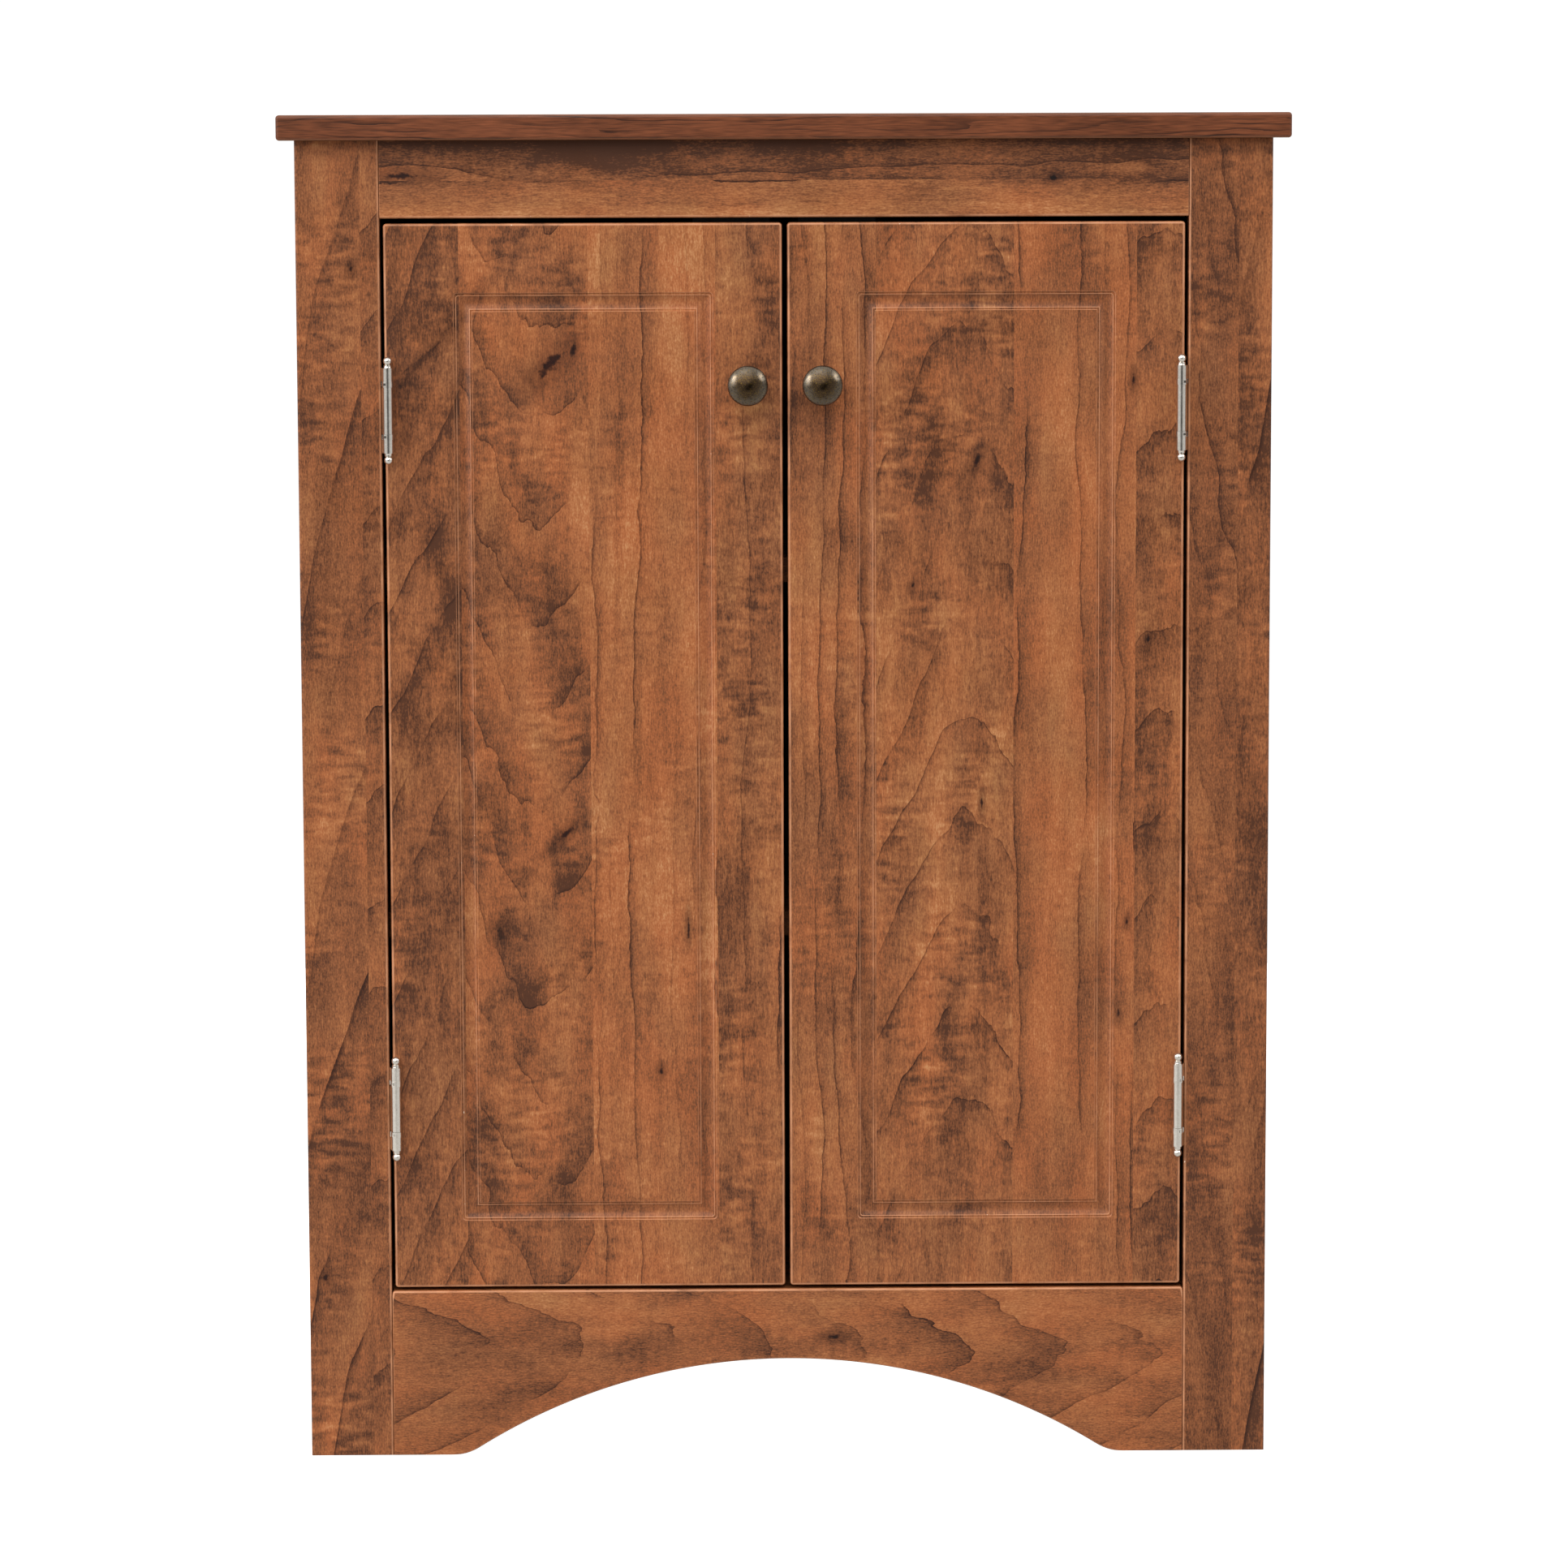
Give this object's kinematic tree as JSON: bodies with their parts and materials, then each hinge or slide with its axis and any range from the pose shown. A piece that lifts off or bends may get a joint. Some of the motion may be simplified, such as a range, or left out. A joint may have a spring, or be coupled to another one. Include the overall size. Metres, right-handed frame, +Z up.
{
  "type": "two-door floor cabinet",
  "caption": "Low wooden cabinet with an overhanging flat top, arched base rail, paired raised-panel doors with round knobs and ball-tipped hinges, and lift-out shelves.",
  "frame": {"origin": "on the floor, at the middle of the whole cabinet's outline, knobs and back included", "axes": "+Z up; +Y towards the back, so the doors face -Y; +X to the right as one faces the doors"},
  "size_m": [0.6, 0.3128, 0.81],
  "materials": {
    "cherry_foil": "satin printed foil in rustic cherry over fibreboard, worn pale along its rounded edges",
    "cherry_laminate": "plainer cherry laminate inside",
    "top_laminate": "satin laminate, finer and darker, grain along the width",
    "hardboard": "raw brown hardboard",
    "beech": "raw turned beech",
    "antique_bronze": "satin antiqued bronze with golden specks",
    "bright_nickel": "bright nickel plate on rolled steel",
    "zinc_steel": "zinc plated steel",
    "black_plastic": "moulded black plastic",
    "ferrite": "pressed ferrite magnet"
  },
  "bodies": {
    "cabinet": {"top_panel": "top_laminate", "left_side_panel": "cherry_foil", "right_side_panel": "cherry_foil", "bottom_panel": "cherry_laminate", "back_panel": "hardboard", "rear_rail": "cherry_laminate", "left_stile": "cherry_foil", "right_stile": "cherry_foil", "top_rail": "cherry_foil", "apron": "cherry_foil", "catch_batten": "cherry_laminate", "upper_shelf_pins": "zinc_steel", "lower_shelf_pins": "zinc_steel", "left_upper_frame_leaf": "bright_nickel", "left_lower_frame_leaf": "bright_nickel", "right_upper_frame_leaf": "bright_nickel", "right_lower_frame_leaf": "bright_nickel", "left_upper_hinge_pin": "bright_nickel", "left_lower_hinge_pin": "bright_nickel", "right_upper_hinge_pin": "bright_nickel", "right_lower_hinge_pin": "bright_nickel", "hinge_finials": "bright_nickel", "hinge_rings": "bright_nickel", "hinge_bushes": "black_plastic", "frame_leaf_screws": "bright_nickel", "left_catch_housing": "black_plastic", "right_catch_housing": "black_plastic", "left_catch_magnet": "ferrite", "right_catch_magnet": "ferrite", "left_catch_poles": "zinc_steel", "right_catch_poles": "zinc_steel", "catch_screws": "zinc_steel", "dowels": "beech", "cam_nuts": "zinc_steel", "cam_bolts": "zinc_steel", "back_panel_nails": "zinc_steel"},
    "left_door": {"left_door": "cherry_foil", "left_knob": "antique_bronze", "left_knob_screw": "zinc_steel", "left_upper_door_leaf": "bright_nickel", "left_lower_door_leaf": "bright_nickel", "left_door_leaf_screws": "bright_nickel", "left_strike_plate": "zinc_steel", "left_strike_screw": "zinc_steel"},
    "right_door": {"right_door": "cherry_foil", "right_knob": "antique_bronze", "right_knob_screw": "zinc_steel", "right_upper_door_leaf": "bright_nickel", "right_lower_door_leaf": "bright_nickel", "right_door_leaf_screws": "bright_nickel", "right_strike_plate": "zinc_steel", "right_strike_screw": "zinc_steel"},
    "upper_shelf": {"upper_shelf": "cherry_laminate"},
    "lower_shelf": {"lower_shelf": "cherry_laminate"}
  },
  "joints": [
    {"name": "left_door_hinge", "type": "hinge", "parent": "cabinet", "child": "left_door", "pos_m": [-0.2359, -0.1383, 0.425], "axis": [0, 0, -1], "range_deg": [0, 180]},
    {"name": "right_door_hinge", "type": "hinge", "parent": "cabinet", "child": "right_door", "pos_m": [0.2359, -0.1383, 0.425], "axis": [0, 0, 1], "range_deg": [0, 180]},
    {"name": "upper_shelf_lift", "type": "slide", "parent": "cabinet", "child": "upper_shelf", "axis": [0, 0, 1], "range_m": [0, 0.012]},
    {"name": "lower_shelf_lift", "type": "slide", "parent": "cabinet", "child": "lower_shelf", "axis": [0, 0, 1], "range_m": [0, 0.012]}
  ]
}
